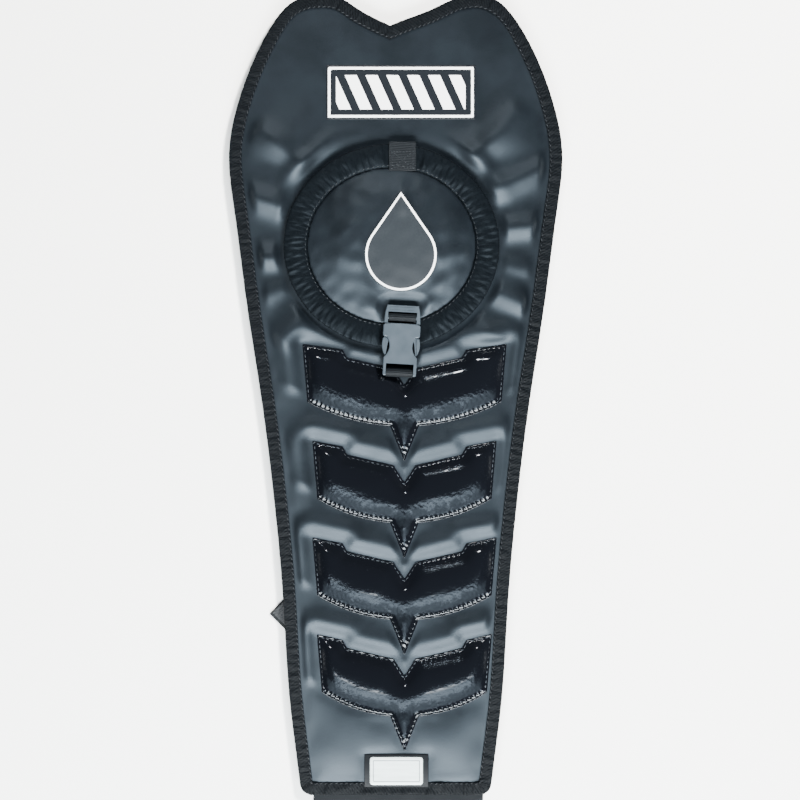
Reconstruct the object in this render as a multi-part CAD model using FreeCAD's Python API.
"""Padded motorcycle fuel-tank protector with a buckled filler-cap flap.

The protector lies flat, as it is stored: +Z is up, +Y points to the front of the motorcycle,
and the origin is on the resting surface, in the middle of the whole length.
All sizes are in millimetres.
"""
import FreeCAD, Part
import math
import os

from FreeCAD import Vector

# ---- Driving dimensions: plan of the panel -------------------------------------------------
panel_length = 576.0          # rear hem to the top of the two front humps
tongue_reach = 50.0           # how far the rear tongue stands out behind the hem
widest_half = 120.0           # half of the panel's greatest width
rear_half = 69.0              # half of the width beside the rear corners
rear_corner_radius = 9.0
hump_half = 54.0              # how far the two front humps' tops are from the middle, on average
hump_shift = 3.5              # both humps sit this far to the right
notch_x = -4.0
notch_depth = 22.0            # how far the front notch goes down between the humps
binding_width = 9.0           # the part of the edge tape that lies on the face

front_y = (panel_length + tongue_reach) / 2
rear_y = front_y - panel_length
tongue_end_y = rear_y - tongue_reach

# Side of the panel from the rear corner to the shoulder: half width at a distance from the hem.
side_points = ((76.3, 68.0), (81.0, 140.0), (87.5, 212.0), (96.5, 284.0), (107.6, 356.0),
               (116.2, 421.0), (widest_half, 463.0))
shoulder_points = ((113.0, 500.0), (95.0, 544.0), (77.0, 569.0))

# ---- Driving dimensions: thicknesses, from the floor up ------------------------------------
webbing_thick = 1.2
hook_thick = 0.6
tape_thick = 0.8
lining_bottom = 2.8
lining_thick = 0.6
foam_thick = 4.0
face_thick = 0.8
foam_bottom = lining_bottom + lining_thick
face_bottom = foam_bottom + foam_thick
face_top = face_bottom + face_thick
binding_bottom = lining_bottom - tape_thick
binding_top = face_top + tape_thick
patch_thick = 0.6
clearance = 0.3               # air between pieces that move past each other

# ---- Driving dimensions: filler hole and flap ----------------------------------------------
flap_x, flap_y = -3.0, 132.3
flap_half_x, flap_half_y = 77.5, 73.0
flap_roll = 17.0              # width of the padded roll of binding round the flap
hole_radius = 60.0
flap_lining_thick = 0.6
flap_foam_thick = 2.5
flap_face_thick = 0.8
roll_proud = 0.2              # how far the roll stands above the flap's face
flap_bottom = binding_top + clearance
flap_foam_bottom = flap_bottom + flap_lining_thick
flap_face_bottom = flap_foam_bottom + flap_foam_thick
flap_top = flap_face_bottom + flap_face_thick
roll_top = flap_top + roll_proud

# ---- Driving dimensions: webbing, straps and hinge tab -------------------------------------
webbing_width = 19.5
hinge_x = 4.9
hinge_tab_length = 20.0
strap_width = 20.0
anchor_length = 20.0          # box-stitched end of each strap
hook_length = 30.0
side_strap_length = 90.0
front_strap_length = 70.0
# Each strap: name, middle of its fold line, and the direction in which it lies, in degrees.
straps = (("side_left", (-20.8, -76.8), 225.0, side_strap_length),
          ("side_right", (20.8, -76.8), 290.0, side_strap_length),
          ("front_left", (-52.0, 268.0), 270.0, front_strap_length),
          ("front_right", (52.0, 268.0), 270.0, front_strap_length))
tongue_half = 61.5
tongue_x = 1.8
tongue_sewn = 26.0            # length of the tongue's sewn end under the hem

# ---- Driving dimensions: chevron pads ------------------------------------------------------
chevron_x = 6.3
first_tip_y = -23.0
chevron_pitch = 69.7
chevron_half_widths = (73.5, 66.3, 66.3, 63.0)
flange_width = 4.0
flange_thick = 0.8
pad_foam_thick = 3.6
pad_skin = 0.8
rear_bow = 3.5                # how far the pad's rear edges are bowed out

# ---- Driving dimensions: side-release buckle -----------------------------------------------
buckle_turn = -3.3            # degrees about +Z: it is sewn on slightly askew
mouth_x, mouth_y = 4.6, 75.4
socket_thick = 7.0
socket_bottom = roll_top + clearance
buckle_z = socket_bottom + socket_thick / 2
cavity_half_height = 2.3
cavity_half_width = 11.5
shoulder_half = 13.25
shoulder_rear = -9.4
waist_half = 8.3
tail_half = 12.0
slot_front = -28.3
rail_inner = 9.9
end_bar_y = -34.8
socket_end = -37.0
bar_radius = 1.5
bar_play = 0.15               # air between a bar and the webbing round it
plug_gap = 0.7                # air between the plug's frame and the socket's mouth
plug_thick = 4.6
plug_front = 13.6
plug_slot_front = 8.8
plug_bar_y = 4.9
plug_core_rear = -4.0
prong_thick = 4.2
prong_head_thick = 6.4


def polygon(points, z):
    """A closed wire of straight edges at height z."""
    corners = [Vector(x, y, z) for x, y in points]
    return Part.makePolygon(corners + corners[:1])


def prism(points, z_low, z_high):
    """A solid with a straight-edged outline between two heights."""
    return Part.Face(polygon(points, z_low)).extrude(Vector(0, 0, z_high - z_low))


def slab(wire, z_low, z_high):
    """A solid with the outline of a flat wire that lies at height 0."""
    solid = Part.Face(wire).extrude(Vector(0, 0, z_high - z_low))
    solid.translate(Vector(0, 0, z_low))
    return solid


def block(x0, x1, y0, y1, z0, z1):
    """A box between two corners."""
    return Part.makeBox(x1 - x0, y1 - y0, z1 - z0, Vector(x0, y0, z0))


def outline(points):
    """A closed wire through points; a point written as (x, y, "by") is the middle of an arc."""
    edges = []
    start = Vector(points[0][0], points[0][1], 0)
    middle = None
    for x, y, *by in list(points[1:]) + [points[0]]:
        here = Vector(x, y, 0)
        if by:
            middle = here
            continue
        edge = Part.Arc(start, middle, here).toShape() if middle else Part.makeLine(start, here)
        edges.append(edge)
        start, middle = here, None
    return Part.Wire(edges)


def mirrored(points):
    """The right-hand points of a symmetric outline, then their mirror images in reverse."""
    return list(points) + [(-point[0],) + point[1:] for point in reversed(points) if point[0] > 0]


def bar(y, z, length):
    """A round bar across the buckle."""
    return Part.makeCylinder(bar_radius, length, Vector(-length / 2, y, z), Vector(1, 0, 0))


def across(profile, half_width):
    """A solid whose outline in the Y-Z plane runs across X."""
    corners = [Vector(-half_width, y, z) for y, z in profile]
    face = Part.Face(Part.makePolygon(corners + corners[:1]))
    return face.extrude(Vector(2 * half_width, 0, 0))


def place_buckle(shape):
    """Moves a shape from the buckle's own frame, whose origin is in the mouth, to its place."""
    shape.rotate(Vector(0, 0, 0), Vector(0, 0, 1), buckle_turn)
    shape.translate(Vector(mouth_x, mouth_y, 0))
    return shape


def save(shape, node):
    """Writes one node, after checking that its solids are sound."""
    if not shape.isValid() or shape.Volume <= 0:
        raise ValueError(node + " is not a sound solid")
    shape.exportStep("parts/" + node + ".step")


# ---- Outlines ------------------------------------------------------------------------------
def smooth(points, start_direction, end_direction):
    """A smooth curve through points, with given directions at its two ends."""
    curve = Part.BSplineCurve()
    curve.interpolate(Points=points, InitialTangent=start_direction.normalize(),
                      FinalTangent=end_direction.normalize())
    return curve


def drawn_in(curve, distance, samples=24):
    """Points beside a curve that runs anticlockwise, a distance to its left."""
    low, high = curve.FirstParameter, curve.LastParameter
    points = []
    for step in range(samples + 1):
        where = low + (high - low) * step / samples
        along = curve.tangent(where)[0]
        points.append(curve.value(where) + Vector(-along.y, along.x, 0) * distance)
    return points


def half_outline(side, distance):
    """The edges of one half, as on the right; side is 1 for the right half and -1 for the left."""
    hump_x = hump_half + side * hump_shift
    corner = Vector(rear_half, rear_y + rear_corner_radius, 0)
    edge = [corner] + [Vector(x, rear_y + d, 0) for x, d in side_points + shoulder_points]
    edge.append(Vector(hump_x, front_y, 0))
    notch = Vector(side * notch_x, front_y - notch_depth, 0)
    hump = [edge[-1], (edge[-1] + notch) * 0.5 + Vector(0, 1.0, 0), notch]
    up, in_along, to_notch = Vector(0.12, 1, 0), Vector(-1, 0, 0), Vector(-0.9, -0.42, 0)
    side_curve = smooth(edge, up, in_along)
    hump_curve = smooth(hump, in_along, to_notch)
    if distance:
        edge = drawn_in(side_curve, distance)
        hump = drawn_in(hump_curve, distance)[:-4] + [notch - Vector(0, 1.1 * distance, 0)]
        side_curve = smooth(edge, up, in_along)
        hump_curve = smooth(hump, in_along, to_notch)

    radius = max(rear_corner_radius - distance, 1.0)
    hem_y = rear_y + distance
    hem_end = Vector(edge[0].x - radius, hem_y, 0)
    bend = radius * (1 - math.sqrt(0.5))
    corner_arc = Part.Arc(hem_end, Vector(edge[0].x - bend, hem_y + bend, 0), edge[0])
    hem = Part.makeLine(Vector(0, hem_y, 0), hem_end)
    return [hem, corner_arc.toShape(), side_curve.toShape(), hump_curve.toShape()]


def panel_outline(distance=0.0):
    """The panel's outline, drawn in by a distance: hem, round corners, waisted sides, two humps."""
    left = [edge.mirror(Vector(0, 0, 0), Vector(1, 0, 0)) for edge in half_outline(-1, distance)]
    return Part.Wire(Part.__sortEdges__(half_outline(1, distance) + left))


def inset(wire, distance):
    """The same outline, drawn in by a distance."""
    return wire.makeOffset2D(-distance)


def flap_outline(drawn_in=0.0):
    """The flap's oval outline."""
    oval = Part.Ellipse(Vector(flap_x, flap_y, 0), flap_half_x - drawn_in, flap_half_y - drawn_in)
    return Part.Wire([oval.toShape()])


def hole(radius, z_low, z_high):
    """A cylinder about the filler hole's axis."""
    return Part.makeCylinder(radius, z_high - z_low, Vector(flap_x, flap_y, z_low))


def bowed(start, end):
    """An arc from start to end, bowed towards the rear."""
    middle = (start + end) * 0.5 - Vector(0, rear_bow, 0)
    return Part.Arc(start, middle, end).toShape()


def chevron_outline(half_width, tip_y):
    """A bat-wing chevron: two horns with a step, a front notch, bowed rear edges and a spike."""
    front_corner = Vector(half_width, 84.5, 0)
    rear_corner = Vector(half_width - 3.6, 43.0, 0)
    horn = Vector(44.5, 80.3, 0)
    step = Vector(41.3, 74.4, 0)
    notch_side = Vector(7.8, 66.7, 0)
    notch = Vector(0, 54.5, 0)
    spike_root = Vector(10.3, 25.7, 0)
    tip = Vector(0, 0, 0)
    straight = [tip, spike_root]
    front = [rear_corner, front_corner, horn, step, notch_side, notch]
    edges = [Part.makeLine(a, b) for a, b in zip(straight, straight[1:])]
    edges.append(bowed(spike_root, rear_corner))
    edges += [Part.makeLine(a, b) for a, b in zip(front, front[1:])]
    edges += [edge.mirror(Vector(0, 0, 0), Vector(1, 0, 0)) for edge in edges]
    wire = Part.Wire(Part.__sortEdges__(edges))
    wire.translate(Vector(chevron_x, tip_y, 0))
    return wire


# ---- The panel: face, foam, lining and bound edges -----------------------------------------
def make_panel():
    """Three layers with the filler hole, and the tapes that close their edges."""
    outer = panel_outline()
    layer_edge = panel_outline(tape_thick)
    layer_hole = hole(hole_radius + tape_thick, 0, binding_top)
    save(slab(layer_edge, lining_bottom, foam_bottom).cut(layer_hole), "panel_lining")
    save(slab(layer_edge, foam_bottom, face_bottom).cut(layer_hole), "panel_foam")
    save(slab(layer_edge, face_bottom, face_top).cut(layer_hole), "panel_face")

    tape = slab(outer, binding_bottom, binding_top)
    tape = tape.cut(slab(layer_edge, lining_bottom, face_top))
    tape = tape.cut(slab(panel_outline(binding_width), 0, 2 * binding_top))
    save(tape, "edge_binding")

    ring = hole(hole_radius + binding_width, binding_bottom, binding_top)
    ring = ring.cut(hole(hole_radius, 0, 2 * binding_top))
    layers = hole(2 * hole_radius, lining_bottom, face_top)
    layers = layers.cut(hole(hole_radius + tape_thick, 0, 2 * binding_top))
    save(ring.cut(layers), "filler_hole_binding")


def make_chevron(number, half_width):
    """A foam pad and the glossy cover that is stitched down round it."""
    tip_y = first_tip_y - chevron_pitch * (number - 1)
    edge = chevron_outline(half_width, tip_y)
    pad_edge = inset(edge, flange_width)
    foam_edge = inset(edge, flange_width + pad_skin)
    foam_top = face_top + pad_foam_thick
    foam = slab(foam_edge, face_top, foam_top)
    cover = slab(edge, face_top, face_top + flange_thick)
    cover = cover.fuse(slab(pad_edge, face_top, foam_top + pad_skin)).cut(foam)
    save(foam, "chevron_foam_%d" % number)
    save(cover.removeSplitter(), "chevron_cover_%d" % number)


def make_labels():
    """The front label, and the badge that sits half on the rear binding."""
    label_x, label_y, label_width, label_height = 3.7, 243.0, 107.6, 39.1
    label = block(-label_width / 2, label_width / 2, -label_height / 2, label_height / 2,
                  face_top, face_top + patch_thick)
    label.translate(Vector(label_x, label_y, 0))
    save(label, "front_label")

    badge_x, badge_y, frame_width, frame_height = 0.5, -245.5, 46.0, 23.5
    plate_width, plate_height, plate_thick = 38.0, 19.8, 1.0
    frame_top = binding_top + patch_thick
    binding_edge = rear_y + binding_width + 0.1
    frame = block(-frame_width / 2, frame_width / 2, -frame_height / 2, frame_height / 2,
                  binding_top, frame_top)
    backing = block(-frame_width / 2, frame_width / 2, binding_edge - badge_y, frame_height / 2,
                    face_top, binding_top)
    frame = frame.fuse(backing).removeSplitter()
    plate = block(-plate_width / 2, plate_width / 2, -plate_height / 2, plate_height / 2,
                  frame_top, frame_top + plate_thick)
    plate = plate.makeFillet(2.0, [edge for edge in plate.Edges if edge.BoundBox.ZLength > 0.5])
    for shape, node in ((frame, "badge_frame"), (plate, "badge_plate")):
        shape.translate(Vector(badge_x, badge_y, 0))
        save(shape, node)


# ---- The flap over the filler cap ----------------------------------------------------------
def make_flap():
    """Three layers inside a thick roll of binding, and the emblem sewn on the face."""
    inner = flap_outline(flap_roll)
    save(slab(inner, flap_bottom, flap_foam_bottom), "flap_lining")
    save(slab(inner, flap_foam_bottom, flap_face_bottom), "flap_foam")
    save(slab(inner, flap_face_bottom, flap_top), "flap_face")
    roll = slab(flap_outline(), flap_bottom, roll_top).cut(slab(inner, 0, 2 * roll_top))
    save(roll, "flap_binding")

    drop_radius, drop_x, drop_y, drop_height = 26.0, 3.8, 125.0, 72.0
    tip_rise = drop_height - drop_radius
    touch = math.asin(drop_radius / tip_rise)
    side = Vector(drop_radius * math.cos(touch), drop_radius * math.sin(touch), 0)
    tip = Vector(0, tip_rise, 0)
    belly = Part.Arc(Vector(-side.x, side.y, 0), Vector(0, -drop_radius, 0), side).toShape()
    drop = Part.Wire([belly, Part.makeLine(side, tip), Part.makeLine(tip, Vector(-side.x, side.y, 0))])
    drop.translate(Vector(drop_x, drop_y, 0))
    save(slab(drop, flap_top, flap_top + patch_thick), "flap_emblem")


def make_hinge_webbing():
    """A tab of webbing that is folded over the flap's front edge and sewn to the panel."""
    fold_y = flap_y + flap_half_y + clearance
    under_y = flap_y + hole_radius + binding_width + clearance
    over = roll_top
    profile = ((fold_y - hinge_tab_length, over), (fold_y, over), (fold_y, face_top + 1.0),
               (under_y, face_top + 1.0), (under_y, face_top), (fold_y + webbing_thick, face_top),
               (fold_y + webbing_thick, over + webbing_thick),
               (fold_y - hinge_tab_length, over + webbing_thick))
    tab = across(profile, webbing_width / 2)
    tab.translate(Vector(hinge_x, 0, 0))
    save(tab, "hinge_webbing")


# ---- The side-release buckle and the webbing that holds it ---------------------------------
def webbing_loop(y, foot_profile):
    """A loop of webbing round a bar, with the foot that is sewn down."""
    inner = bar_radius + bar_play
    half = webbing_width / 2
    start = Vector(-half, y, buckle_z)
    loop = Part.makeCylinder(inner + webbing_thick, webbing_width, start, Vector(1, 0, 0))
    loop = loop.fuse(across(foot_profile, half))
    return loop.cut(Part.makeCylinder(inner, webbing_width, start, Vector(1, 0, 0))).removeSplitter()


def make_buckle_webbing():
    """The short loops that hold the plug to the flap and the socket to the panel."""
    foot = ((4.2, flap_top), (13.3, flap_top), (13.3, flap_top + webbing_thick),
            (7.0, flap_top + webbing_thick), (6.2, buckle_z - 2.2), (4.2, buckle_z - 2.2))
    save(place_buckle(webbing_loop(plug_bar_y, foot)), "flap_webbing")
    foot = ((-28.6, face_top), (-18.0, face_top), (-18.0, face_top + webbing_thick),
            (-26.4, face_top + webbing_thick), (end_bar_y + 2.4, buckle_z - 1.7),
            (end_bar_y + 0.4, buckle_z - 2.5))
    save(place_buckle(webbing_loop(end_bar_y, foot)), "anchor_webbing")


def make_socket():
    """The moulded socket: shoulders, waist between two side windows, and a tail with its bar."""
    z_low, z_high = buckle_z - socket_thick / 2, buckle_z + socket_thick / 2
    arched_mouth = (0.0, 0.7, "by")
    right = ((12.3, 0.0), (shoulder_half, -1.0), (shoulder_half, -8.1),
             (12.3, shoulder_rear), (10.4, shoulder_rear), (waist_half, -15.6, "by"),
             (10.8, -22.6), (tail_half, -24.0), (tail_half, socket_end + 0.7),
             (tail_half - 0.7, socket_end))
    body = slab(outline(mirrored(right) + [arched_mouth]), z_low, z_high)
    rims = [edge for edge in body.Edges if edge.BoundBox.ZLength < 0.01]
    body = body.makeFillet(0.9, rims)
    body = body.cut(block(-cavity_half_width, cavity_half_width, -23.5, 5,
                          buckle_z - cavity_half_height, buckle_z + cavity_half_height))
    body = body.cut(block(-rail_inner, rail_inner, socket_end - 5, slot_front, z_low - 1, z_high + 1))
    body = body.fuse(bar(end_bar_y, buckle_z, 2 * rail_inner + 1.0))
    save(place_buckle(body.removeSplitter()), "buckle_socket")


def make_plug():
    """The plug's frame with its two bars, and the core that goes into the socket."""
    z_low, z_high = buckle_z - plug_thick / 2, buckle_z + plug_thick / 2
    right = ((11.3, plug_front), (12.5, plug_slot_front - 0.5), (13.0, plug_gap))
    frame = prism(mirrored(right), z_low, z_high)
    rims = [edge for edge in frame.Edges
            if edge.BoundBox.ZLength < 0.01 and edge.BoundBox.YMax > plug_gap + 0.01]
    frame = frame.makeFillet(0.7, rims)
    slot_half = 10.3
    frame = frame.cut(block(-slot_half, slot_half, -1, plug_slot_front, z_low - 1, z_high + 1))
    ridge = block(-9.0, 9.0, 10.4, 12.0, z_high - 0.4, z_high + 0.5)
    frame = frame.fuse(bar(plug_bar_y, buckle_z, 2 * slot_half + 1.0)).fuse(ridge)
    save(place_buckle(frame.removeSplitter()), "buckle_plug")

    core_half, core_half_height = 11.2, 2.1
    core = block(-core_half, core_half, plug_core_rear, plug_gap,
                 buckle_z - core_half_height, buckle_z + core_half_height)
    guide_half, guide_rear, guide_half_height = 3.4, -18.0, 1.0
    guide = block(-guide_half, guide_half, guide_rear, plug_core_rear,
                  buckle_z - guide_half_height, buckle_z + guide_half_height)
    save(place_buckle(core.fuse(guide).removeSplitter()), "buckle_plug_core")


def make_prong(side, node):
    """One sprung arm of the plug, with the lens-shaped head that shows in the side window."""
    neck = ((7.2, plug_core_rear), (10.2, plug_core_rear), (10.2, shoulder_rear - 0.4),
            (12.9, shoulder_rear - 0.6), (13.6, -15.0, "by"), (11.6, -22.0), (10.6, -22.0),
            (9.6, -14.0), (8.0, -9.0))
    head = ((10.9, shoulder_rear - 0.6), (12.9, shoulder_rear - 0.6), (13.6, -15.0, "by"),
            (11.6, -22.0))
    shape = slab(outline([(side * p[0],) + p[1:] for p in neck]),
                 buckle_z - prong_thick / 2, buckle_z + prong_thick / 2)
    thick = slab(outline([(side * p[0],) + p[1:] for p in head]),
                 buckle_z - prong_head_thick / 2, buckle_z + prong_head_thick / 2)
    outer = [edge for edge in thick.Edges
             if edge.BoundBox.ZLength < 0.01 and edge.Length > 12.2]
    shape = shape.fuse(thick.makeFillet(0.7, outer))
    save(place_buckle(shape.removeSplitter()), node)


# ---- Straps and tongue ---------------------------------------------------------------------
def make_strap(name, fold, direction, length):
    """A strap that lies under the panel: its sewn end, its free length and its hook patch."""
    half = strap_width / 2
    anchor = block(-anchor_length, 0, -half, half, 0, lining_bottom)
    strap = block(clearance, length, -half, half, 0, webbing_thick)
    hook = block(length - hook_length, length - 2, -half + 1, half - 1,
                 webbing_thick, webbing_thick + hook_thick)
    pieces = ((anchor, "strap_anchor_"), (strap, "strap_"), (hook, "strap_hook_"))
    for shape, prefix in pieces:
        shape.rotate(Vector(0, 0, 0), Vector(0, 0, 1), direction)
        shape.translate(Vector(fold[0], fold[1], 0))
        save(shape, prefix + name)


def make_tongue():
    """The fabric tongue that goes under the seat, and its end that is sewn under the hem."""
    sewn = block(-tongue_half, tongue_half, rear_y, rear_y + tongue_sewn, 0, binding_bottom)
    inside_half = rear_half - 2 * binding_width
    inside = block(-inside_half, inside_half, rear_y + binding_width + clearance,
                   rear_y + tongue_sewn, binding_bottom, lining_bottom)
    tongue = block(-tongue_half, tongue_half, tongue_end_y, rear_y - clearance, 0, webbing_thick)
    corners = [edge for edge in tongue.Edges
               if edge.BoundBox.ZLength > 0.5 and edge.BoundBox.YMax < tongue_end_y + 0.1]
    tongue = tongue.makeFillet(12.0, corners)
    for shape, node in ((sewn.fuse(inside).removeSplitter(), "tongue_seam"), (tongue, "rear_tongue")):
        shape.translate(Vector(tongue_x, 0, 0))
        save(shape, node)


os.makedirs("parts", exist_ok=True)
make_panel()
for number, half_width in enumerate(chevron_half_widths, 1):
    make_chevron(number, half_width)
make_labels()
make_flap()
make_hinge_webbing()
make_buckle_webbing()
make_socket()
make_plug()
make_prong(-1, "prong_left")
make_prong(1, "prong_right")
for name, fold, direction, length in straps:
    make_strap(name, fold, direction, length)
make_tongue()
